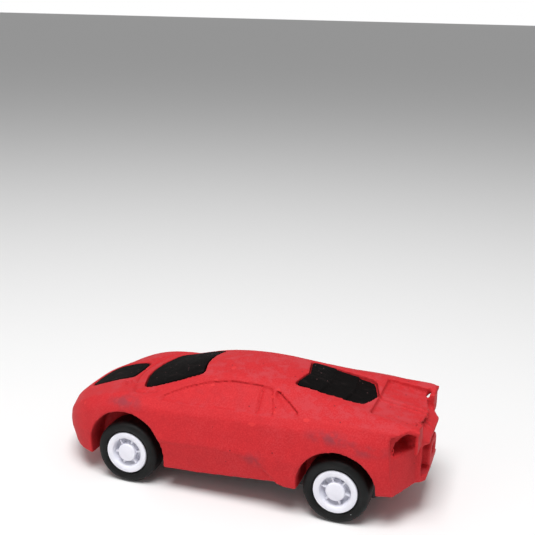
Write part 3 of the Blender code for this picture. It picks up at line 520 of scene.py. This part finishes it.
def exhaust():
    """The raised eight-sided pipe in the middle of the tail."""
    pipe = plate(in_metres(EXHAUST_OUTLINE), EXHAUST_LENGTH * MM)
    bore = plate(
        [(x * EXHAUST_BORE_WIDTH * MM, y * EXHAUST_BORE_HEIGHT * MM) for x, y in EXHAUST_OUTLINE],
        EXHAUST_BORE_LENGTH * MM)
    bore.data.transform(Matrix.Translation((0, 0, EXHAUST_BORE_FLOOR * MM)))
    carve(tidy_faces(pipe), tidy_faces(bore))
    turn = Matrix(((0, 0, -1, 0), (1, 0, 0, 0), (0, -1, 0, 0), (0, 0, 0, 1)))
    pipe.data.transform(Matrix.Translation(at(*EXHAUST_BASE)) @ turn)
    return tidy_faces(pipe)


# ---------------------------------------------------------------- the body
COWL_GROOVE_EDGES = (-2.7, -1.9)
COWL_GROOVE_REAR = 18.5
COWL_GROOVE_DEPTH = 0.45
COWL_NOTCH = [(29.6, 7.0), (28.4, 9.8), (26.9, 9.4), (28.0, 6.8)]
COWL_NOTCH_DEPTH = 0.5


def cut_cowl(body, form):
    """The groove that follows the windscreen's front edge and the notch behind the hood panel."""
    outer, inner = COWL_GROOVE_EDGES
    groove = panel_tool(WINDSCREEN_OUTLINE, outer)
    carve(groove, panel_tool(WINDSCREEN_OUTLINE, inner))
    carve(groove, block(at(-20, -20, 0), at(COWL_GROOVE_REAR, 20, 40)))
    carve(body, skin_tool(form, groove, down(COWL_GROOVE_DEPTH)))
    notch = top_plate(COWL_NOTCH, *PANEL_TOOL_SPAN)
    carve(body, skin_tool(form, notch, down(COWL_NOTCH_DEPTH)))


AXLE_SLOT, AXLE_SLOT_SIDE = 1.4, 12
SHELL_VOXEL = 0.3
SHELL_TRIANGLES = 190000


def build_body():
    """The moulded body, and the form without cuts that the inserts follow."""
    form = body_form("form")
    body = copy_of(form, "moulded_body")
    cut_windows(body, form)
    cut_sill(body)
    cut_tail(body)
    for axle, radius in ARCHES:
        carve(body, wheel_well(axle, radius))
    carve(body, cavity())
    cut_cowl(body, form)
    for outline in (HOOD_OUTLINE, WINDSCREEN_OUTLINE, ENGINE_OUTLINE):
        carve(body, skin_tool(form, panel_tool(outline, 0), down(INSERT_DEPTH)))
    across = (False, True, False)
    shape(body, "MIRROR", use_axis=across, use_bisect_axis=across, merge_threshold=MERGE)
    carve(body, exhaust(), "UNION")
    slot, side = AXLE_SLOT * MM, AXLE_SLOT_SIDE * MM
    for axle in (FRONT_AXLE, REAR_AXLE):
        low = (axle.x - slot, -side, UNDERNEATH * MM)
        carve(body, block(low, (axle.x + slot, side, axle.z + slot)))
    shape(body, "REMESH", mode="VOXEL", voxel_size=SHELL_VOXEL * MM)
    shape(body, "SMOOTH", factor=0.5, iterations=2)
    triangles = len(body.data.polygons) * 2
    shape(body, "DECIMATE", ratio=min(1, SHELL_TRIANGLES / triangles))
    only(body)
    bpy.ops.object.shade_smooth()
    return body, form


# ---------------------------------------------------------------- inserts
PANEL_VOXEL = 0.2
PANEL_SINK = 0.1
SLAT_SINK = 0.05
# Each slat behind the first starts at a fold and lies a step lower.
SLAT_FOLDS = ((-18.4, 0.4), (-23.9, 0.8))
SLAT_REAR, SLAT_SIDE = -40, 9


def insert_piece(name, form, outline, sink):
    """A panel that follows the body's form, a little below it, inside its recess."""
    panel = copy_of(form, name, Matrix.Translation(down(sink)))
    carve(panel, panel_tool(outline, INSERT_GAP), "INTERSECT")
    return carve(panel, copy_of(form, "core", Matrix.Translation(down(INSERT_DEPTH - INSERT_GAP))))


def soften(panel):
    """Round a panel's edges as rubber from a mould."""
    shape(panel, "REMESH", mode="VOXEL", voxel_size=PANEL_VOXEL * MM)
    shape(panel, "SMOOTH", factor=0.5, iterations=4)
    only(panel)
    bpy.ops.object.shade_smooth()
    return panel


def build_inserts(form):
    hood = soften(insert_piece("hood_panel", form, HOOD_OUTLINE, PANEL_SINK))
    windscreen = soften(insert_piece("windscreen_panel", form, WINDSCREEN_OUTLINE, PANEL_SINK))
    engine = insert_piece("slatted_engine_panel", form, ENGINE_OUTLINE, SLAT_SINK)
    for fold, step in SLAT_FOLDS:
        outline = [(fold - 1.0, 0), (fold + 0.2, SLAT_SIDE), (SLAT_REAR, SLAT_SIDE), (SLAT_REAR, 0)]
        rear_part = top_plate(whole(outline), *PANEL_TOOL_SPAN)
        carve(engine, skin_tool(form, rear_part, down(step)))
    soften(engine)
    return hood, windscreen, engine


# ---------------------------------------------------------------- wheels
# Profiles of (radius, y), where the outer face is y = 0.
TYRE_PROFILE = [
    (5.05, -0.5), (5.12, -0.2), (5.3, -0.32), (5.5, -0.12), (6.0, 0.0), (6.6, -0.02),
    (7.1, -0.3), (7.4, -0.85), (7.5, -1.6), (7.5, -4.8), (7.4, -5.55), (7.1, -6.1),
    (6.5, -6.4), (5.8, -6.4), (5.3, -6.2), (5.05, -5.9)]
RIM_PROFILE = [
    (0, 0), (1.7, 0), (2.0, -0.08), (2.15, -0.3), (2.15, -2.2), (3.05, -2.2),
    (3.2, -1.9), (3.45, -0.5), (3.6, -0.12), (3.8, 0), (4.7, 0), (4.9, -0.08),
    (4.98, -0.3), (4.98, -6.2), (4.0, -6.2), (4.0, -3.4), (2.0, -3.4), (2.0, -6.1), (0, -6.1)]
WHEEL_STEPS = 96
RIB_COUNT = 6
RIB_REACH, RIB_HALF_WIDTH = 3.3, 0.24
RIB_BACK, RIB_FRONT = -2.6, -0.85
RIB_ROUNDING = 0.12
RIM_SMOOTHING = 32
TYRE_SMOOTHING = 60
# How far the wheels of each axle are turned at rest, in degrees.
WHEEL_ENDS = (("front", FRONT_AXLE, 8), ("rear", REAR_AXLE, -12))
WHEEL_SIDES = ((1, "left"), (-1, "right"))


def turned(name, profile, ring):
    """A profile spun about the Y axis: a closed ring, or a solid from the axis outwards."""
    bpy.ops.mesh.primitive_circle_add(vertices=len(profile))
    obj = bpy.context.object
    obj.name = name
    for vertex, (radius, y) in zip(obj.data.vertices, profile):
        vertex.co = (radius * MM, y * MM, 0)
    edit(obj)
    if not ring:
        bpy.ops.mesh.select_all(action="DESELECT")
        stop_editing()
        last = len(profile) - 1
        for edge in obj.data.edges:
            edge.select = set(edge.vertices) == {0, last}
        bpy.ops.object.mode_set(mode="EDIT")
        bpy.ops.mesh.select_mode(type="EDGE")
        bpy.ops.mesh.delete(type="EDGE")
        bpy.ops.mesh.select_all(action="SELECT")
    bpy.ops.mesh.spin(steps=WHEEL_STEPS, angle=math.tau, center=(0, 0, 0), axis=(0, 1, 0))
    stop_editing()
    tidy_faces(obj)
    return obj


def build_rim():
    """A dished rim with a flush cap and six thin ribs; its face is y = 0."""
    rim = turned("rim", RIM_PROFILE, ring=False)
    for index in range(RIB_COUNT // 2):
        rib = block(
            (-RIB_REACH * MM, RIB_BACK * MM, -RIB_HALF_WIDTH * MM),
            (RIB_REACH * MM, RIB_FRONT * MM, RIB_HALF_WIDTH * MM))
        shape(rib, "BEVEL", width=RIB_ROUNDING * MM, segments=2)
        rib.data.transform(Matrix.Rotation(index * math.tau / RIB_COUNT, 4, "Y"))
        carve(rim, rib, "UNION")
    return round_off(rim, RIM_SMOOTHING)


def build_tyre():
    tyre = turned("tyre", TYRE_PROFILE, ring=True)
    return round_off(tyre, TYRE_SMOOTHING)


def build_wheels():
    """A rim and a tyre at each end of both axles, with the node and end of each."""
    rim, tyre = build_rim(), build_tyre()
    wheels = []
    for end, axle, turn in WHEEL_ENDS:
        rolled = Matrix.Rotation(math.radians(turn), 4, "Y")
        for side, side_name in WHEEL_SIDES:
            low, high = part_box(f"{end}_{side_name}_rim")
            face = high.y if side > 0 else low.y
            place = Matrix.Translation((axle.x, face, axle.z)) @ rolled
            if side < 0:
                place = place @ Matrix.Rotation(math.pi, 4, "Z")
            for piece, source in (("rim", rim), ("tyre", tyre)):
                node = f"{end}_{side_name}_{piece}"
                wheel = copy_of(source, f"{node}_turned", place)
                wheels.append((wheel, node, end))
    drop(rim)
    drop(tyre)
    return wheels


# ---------------------------------------------------------------- finishes
class Wire:
    """A shader socket that takes part in sums the way a number does."""

    def __init__(self, finish, socket):
        self.finish = finish
        self.socket = socket

    def sum(self, operation, *terms):
        return self.finish.node("ShaderNodeMath", {"operation": operation}, dict(enumerate(terms)))

    def __add__(self, other):
        return self.sum("ADD", self, other)

    def __mul__(self, other):
        return self.sum("MULTIPLY", self, other)

    __radd__ = __add__
    __rmul__ = __mul__

    def out(self, name):
        return Wire(self.finish, self.socket.node.outputs[name])

    def ramp(self, low, high):
        """0 below low, 1 above high and smooth between; low may be the larger one."""
        return self.finish.node(
            "ShaderNodeMapRange", {"interpolation_type": "SMOOTHSTEP"},
            {"Value": self, "From Min": low, "From Max": high})


def tone(red, green, blue):
    """A colour from its screen values, 0 to 255."""
    return tuple((value / 255) ** 2.2 for value in (red, green, blue)) + (1,)


class Finish:
    """A material round one shader, patterned on the car's own axes."""

    def __init__(self, name, colour, roughness, metallic=0.0):
        self.material = bpy.data.materials.new(name)
        self.material.use_nodes = True
        self.tree = self.material.node_tree
        self.shader = self.tree.nodes["Principled BSDF"]
        self.shader.inputs["Base Color"].default_value = colour
        self.shader.inputs["Roughness"].default_value = roughness
        self.shader.inputs["Metallic"].default_value = metallic
        self.place = self.node("ShaderNodeTexCoord", {}, {}).out("Object")

    def node(self, kind, settings, sockets):
        """Any node: its settings first, then the values or links of its sockets."""
        node = self.tree.nodes.new(kind)
        for name, value in settings.items():
            setattr(node, name, value)
        for name, value in sockets.items():
            if isinstance(value, Wire):
                self.tree.links.new(value.socket, node.inputs[name])
            else:
                node.inputs[name].default_value = value
        return Wire(self, node.outputs[0])

    def feed(self, name, value):
        self.tree.links.new(value.socket, self.shader.inputs[name])

    def noise(self, size, detail=2.0, stretch=None):
        """Soft noise with lumps of about this many millimetres."""
        place = self.place
        if stretch is not None:
            place = self.node("ShaderNodeMapping", {}, {"Vector": place, "Scale": stretch})
        return self.node(
            "ShaderNodeTexNoise", {}, {"Vector": place, "Scale": 1 / (size * MM), "Detail": detail})

    def spot(self, centre, reach):
        """1 at a place, falling to 0 at its reach along x, y and z in millimetres."""
        offset = self.node(
            "ShaderNodeVectorMath", {"operation": "SUBTRACT"}, {0: self.place, 1: at(*centre)})
        scaled = self.node(
            "ShaderNodeVectorMath", {"operation": "DIVIDE"}, {0: offset, 1: Vector(reach) * MM})
        length = self.node("ShaderNodeVectorMath", {"operation": "LENGTH"}, {0: scaled}).out("Value")
        return length.ramp(1, 0.1)

    def specks(self, spacing, edge, core):
        """1 in small dots about this many millimetres apart, and 0 between them."""
        cells = self.node(
            "ShaderNodeTexVoronoi", {}, {"Vector": self.place, "Scale": 1 / (spacing * MM)})
        return cells.out("Distance").ramp(edge, core)

    def blend(self, share, first, second):
        """A colour between two colours."""
        mix = self.node("ShaderNodeMix", {"data_type": "RGBA"}, {0: share, 6: first, 7: second})
        return Wire(self, mix.socket.node.outputs[2])

    def facing_up(self):
        """1 where the surface faces up, 0 where it is upright."""
        normal = self.node("ShaderNodeNewGeometry", {}, {}).out("Normal")
        return self.node("ShaderNodeSeparateXYZ", {}, {0: normal}).out("Z")

    def edges(self, low, high):
        """Sharp outer edges, or the inner ones where low is the larger number."""
        return self.node("ShaderNodeNewGeometry", {}, {}).out("Pointiness").ramp(low, high)

    def bump(self, height, depth):
        """Raise the surface by a height of 0 to 1 times this many millimetres."""
        self.feed("Normal", self.node(
            "ShaderNodeBump", {}, {"Height": height, "Distance": depth * MM, "Strength": 1.0}))


def red_rubber():
    """Matt eraser rubber: grainy, chalky where it is handled, smudged near the wheels, lighter on
    its outer edges from wear and a painted highlight, and darker in its inner edges from painted
    shade.
    """
    rubber = Finish("red_rubber", tone(200, 28, 32), 0.72)
    grain = rubber.noise(0.32, 3)
    mottle = rubber.noise(2.2, 5)
    patches = rubber.noise(9, 4)
    top = rubber.facing_up()
    colour = rubber.blend(grain.ramp(0.3, 0.72), tone(186, 38, 44), tone(199, 47, 51))
    colour = rubber.blend(mottle.ramp(0.35, 0.75) * 0.35, colour, tone(174, 38, 44))
    lying = top.ramp(0.72, 0.97)
    chalk = (patches * 0.35 + mottle * 0.4 + grain * 0.25).ramp(0.47, 0.6) * lying * 0.7
    colour = rubber.blend(chalk, colour, tone(190, 66, 72))
    dusty = (patches * 0.4 + grain * 0.6).ramp(0.48, 0.66) * 0.38
    colour = rubber.blend(dusty, colour, tone(188, 60, 66))
    # Lighter red on sharp outer edges: partly edge wear, partly a painted highlight along the
    # creases and edges.
    edge_wear_and_highlight = rubber.edges(0.525, 0.58) * 0.5
    colour = rubber.blend(edge_wear_and_highlight, colour, tone(216, 60, 60))
    # Darker red in sharp inner edges: painted shade in the creases and recesses.
    colour = rubber.blend(rubber.edges(0.485, 0.44) * 0.5, colour, tone(140, 16, 22))
    smudge = (
        rubber.spot((25.5, 17.0, 20.2), (7, 4, 2.6)) + rubber.spot((-24, 17.4, 20.0), (8, 4, 2.2))
        + rubber.spot((-31.5, 17.0, 18.2), (7, 4, 2.0)) * 0.8
        + rubber.spot((-6.6, 17.9, 12.0), (4, 4, 2.6)) * 0.6)
    colour = rubber.blend(smudge * mottle.ramp(0.3, 0.6) * 0.62, colour, tone(120, 60, 70))
    colour = rubber.blend(rubber.specks(3.2, 0.07, 0.045) * 0.7, colour, tone(90, 26, 34))
    rubber.feed("Base Color", colour)
    rubber.feed("Roughness", 0.62 + chalk * 0.2 + grain * 0.12)
    rubber.bump(grain * 0.55 + mottle * 0.45, 0.09)
    rubber.shader.inputs["Specular IOR Level"].default_value = 0.2
    return rubber.material


def black_insert_rubber():
    """Dull black rubber, rubbed in streaks across the car and flecked with crumbs."""
    rubber = Finish("black_insert_rubber", tone(14, 10, 10), 0.85)
    grain = rubber.noise(0.3, 3)
    mottle = rubber.noise(2.4, 5)
    colour = rubber.blend(grain.ramp(0.4, 0.7), tone(10, 7, 7), tone(19, 15, 15))
    rub = rubber.noise(3.5, 6, (1, 2.2, 1))
    colour = rubber.blend(rub.ramp(0.56, 0.7) * 0.35, colour, tone(46, 38, 38))
    colour = rubber.blend(rubber.specks(1.7, 0.085, 0.05) * 0.55, colour, tone(150, 110, 112))
    rubber.feed("Base Color", colour)
    rubber.feed("Roughness", 0.7 + mottle * 0.25)
    rubber.bump(grain * 0.6 + mottle * 0.4, 0.12)
    rubber.shader.inputs["Specular IOR Level"].default_value = 0.1
    return rubber.material


def tyre_rubber():
    """Smooth satin rubber with a few pale specks painted as glints."""
    rubber = Finish("tyre_rubber", tone(20, 21, 21), 0.55)
    grain = rubber.noise(0.25, 3)
    cloud = rubber.noise(3, 4)
    colour = rubber.blend(cloud.ramp(0.4, 0.7), tone(16, 17, 17), tone(28, 29, 29))
    # Pale bluish specks: painted glints on the satin rubber.
    colour = rubber.blend(rubber.specks(2.6, 0.05, 0.03) * 0.7, colour, tone(170, 180, 180))
    rubber.feed("Base Color", colour)
    rubber.feed("Roughness", 0.44 + cloud * 0.2)
    rubber.bump(grain, 0.04)
    rubber.shader.inputs["Specular IOR Level"].default_value = 0.22
    return rubber.material


def moulded_plastic(name, light, dark, roughness, depth):
    """Plain moulded plastic with a faint cloud of colour and a fine tool texture."""
    plastic = Finish(name, light, roughness)
    cloud = plastic.noise(4, 4)
    grain = plastic.noise(0.2, 2)
    plastic.feed("Base Color", plastic.blend(cloud.ramp(0.3, 0.75), light, dark))
    plastic.feed("Roughness", roughness + cloud * 0.12)
    plastic.bump(grain, depth)
    return plastic.material


def drawn_metal(name, light, dark, roughness, grain):
    """Steel with fine marks along one direction."""
    metal = Finish(name, light, roughness, 1.0)
    marks = metal.noise(1.0, 4, grain)
    metal.feed("Base Color", metal.blend(marks.ramp(0.3, 0.7), light, dark))
    metal.feed("Roughness", roughness + marks * 0.2)
    metal.bump(marks, 0.01)
    return metal.material


def wear(piece, material):
    """Give a piece this material alone."""
    piece.data.materials.clear()
    piece.data.materials.append(material)


# ---------------------------------------------------------------- studio
FLOOR_SIZE = 60
PAPER_GREY = 0.84
# The world's light fades from the horizon up: where it starts, where it ends, and its strengths.
SKY_FADE = (("From Min", 0.03), ("From Max", 0.14), ("To Min", 1.0), ("To Max", 0.34))
LAMP_TARGET = (0, 0, 0.01)


def build_stage():
    bpy.ops.mesh.primitive_plane_add(size=FLOOR_SIZE)
    floor = bpy.context.object
    floor.name = "floor"
    paper = Finish("pale_paper", (PAPER_GREY, PAPER_GREY, PAPER_GREY, 1), 0.95)
    wear(floor, paper.material)


def soft_light(name, place, size, power):
    """A square lamp, this many metres wide, that points at the car."""
    lamp = bpy.data.lights.new(name, "AREA")
    lamp.size = size
    lamp.energy = power
    obj = bpy.data.objects.new(name, lamp)
    bpy.context.scene.collection.objects.link(obj)
    obj.location = place
    towards = Vector(LAMP_TARGET) - Vector(place)
    obj.rotation_euler = towards.to_track_quat("-Z", "Y").to_euler()


def build_studio():
    """A white world that is brightest at the horizon, and two soft lamps."""
    world = bpy.data.worlds.new("studio")
    bpy.context.scene.world = world
    world.use_nodes = True
    nodes, links = world.node_tree.nodes, world.node_tree.links
    direction = nodes.new("ShaderNodeTexCoord")
    parts = nodes.new("ShaderNodeSeparateXYZ")
    links.new(direction.outputs["Generated"], parts.inputs[0])
    height = nodes.new("ShaderNodeMapRange")
    for name, value in SKY_FADE:
        height.inputs[name].default_value = value
    links.new(parts.outputs["Z"], height.inputs["Value"])
    background = nodes["Background"]
    background.inputs["Color"].default_value = (1, 1, 1, 1)
    links.new(height.outputs[0], background.inputs["Strength"])
    soft_light("overhead", (-0.03, 0.2, 0.57), size=0.3, power=3.6)
    soft_light("front_fill", (0.35, 0.45, 0.25), size=0.4, power=0.3)
    bpy.context.scene.view_settings.view_transform = "Standard"


CAMERA_PLACE = (-65.535, 187.076, 105.828)
CAMERA_AZIMUTH, CAMERA_ELEVATION, CAMERA_ROLL = 198.493, 15.571, 1.370
FOCAL_LENGTH, SENSOR_WIDTH = 60.76, 36


def build_camera():
    """A camera near the car's left rear quarter, looking down a little."""
    azimuth, elevation, roll = (
        math.radians(angle) for angle in (CAMERA_AZIMUTH, CAMERA_ELEVATION, CAMERA_ROLL))
    back = Vector((
        math.sin(azimuth) * math.cos(elevation),
        -math.cos(azimuth) * math.cos(elevation),
        math.sin(elevation)))
    level = (-back).cross(Vector((0, 0, 1))).normalized()
    upright = level.cross(-back)
    right = math.cos(roll) * level + math.sin(roll) * upright
    up = -math.sin(roll) * level + math.cos(roll) * upright
    lens = bpy.data.cameras.new("camera")
    lens.lens = FOCAL_LENGTH
    lens.sensor_width = SENSOR_WIDTH
    lens.clip_start = 0.01
    camera = bpy.data.objects.new("camera", lens)
    bpy.context.scene.collection.objects.link(camera)
    turn = Matrix((right, up, back)).transposed().to_4x4()
    camera.matrix_world = Matrix.Translation(at(*CAMERA_PLACE)) @ turn
    bpy.context.scene.camera = camera


# ---------------------------------------------------------------- putting it together
build_camera()
body, form = build_body()
hood, windscreen, engine = build_inserts(form)
drop(form)

red = red_rubber()
black = black_insert_rubber()
for piece, node, slot, material in (
        (body, "body_shell", "body_rubber", red),
        (hood, "hood_insert", "insert_rubber", black),
        (windscreen, "windscreen_insert", "insert_rubber", black),
        (engine, "engine_cover", "insert_rubber", black)):
    wear(piece, material)
    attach(piece, "car")
    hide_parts(node)

white = moulded_plastic("white_rim_plastic", tone(232, 232, 240), tone(220, 220, 230), 0.35, 0.01)
tyre_finish = tyre_rubber()
for wheel, node, end in build_wheels():
    is_rim = node.endswith("rim")
    wear(wheel, white if is_rim else tyre_finish)
    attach(wheel, f"{end}_wheels")
    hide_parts(node)

tray = moulded_plastic("black_tray_plastic", tone(38, 38, 40), tone(30, 30, 31), 0.5, 0.02)
housing = moulded_plastic(
    "grey_housing_plastic", tone(136, 139, 142), tone(124, 127, 130), 0.45, 0.02)
gear = moulded_plastic(
    "natural_gear_plastic", tone(226, 221, 203), tone(214, 208, 190), 0.4, 0.01)
steel = drawn_metal("drawn_steel", tone(200, 202, 205), tone(172, 174, 178), 0.22, (8, 0.4, 8))
blued = drawn_metal(
    "blued_spring_steel", tone(92, 100, 120), tone(74, 78, 90), 0.3, (4, 0.5, 4))
node_finishes = {
    "chassis_tray": tray, "motor_case": housing, "motor_cover": housing,
    "clutch_gear": gear, "idler_gear": gear, "spring_gear": gear, "axle_pinion": gear,
    "mainspring": blued, "clutch_gear_pin": steel, "idler_gear_pin": steel,
    "motor_front_screw": steel, "motor_rear_screw": steel,
    "front_axle": steel, "rear_axle": steel}
for node, material in node_finishes.items():
    wear(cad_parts[node], material)

build_stage()
build_studio()
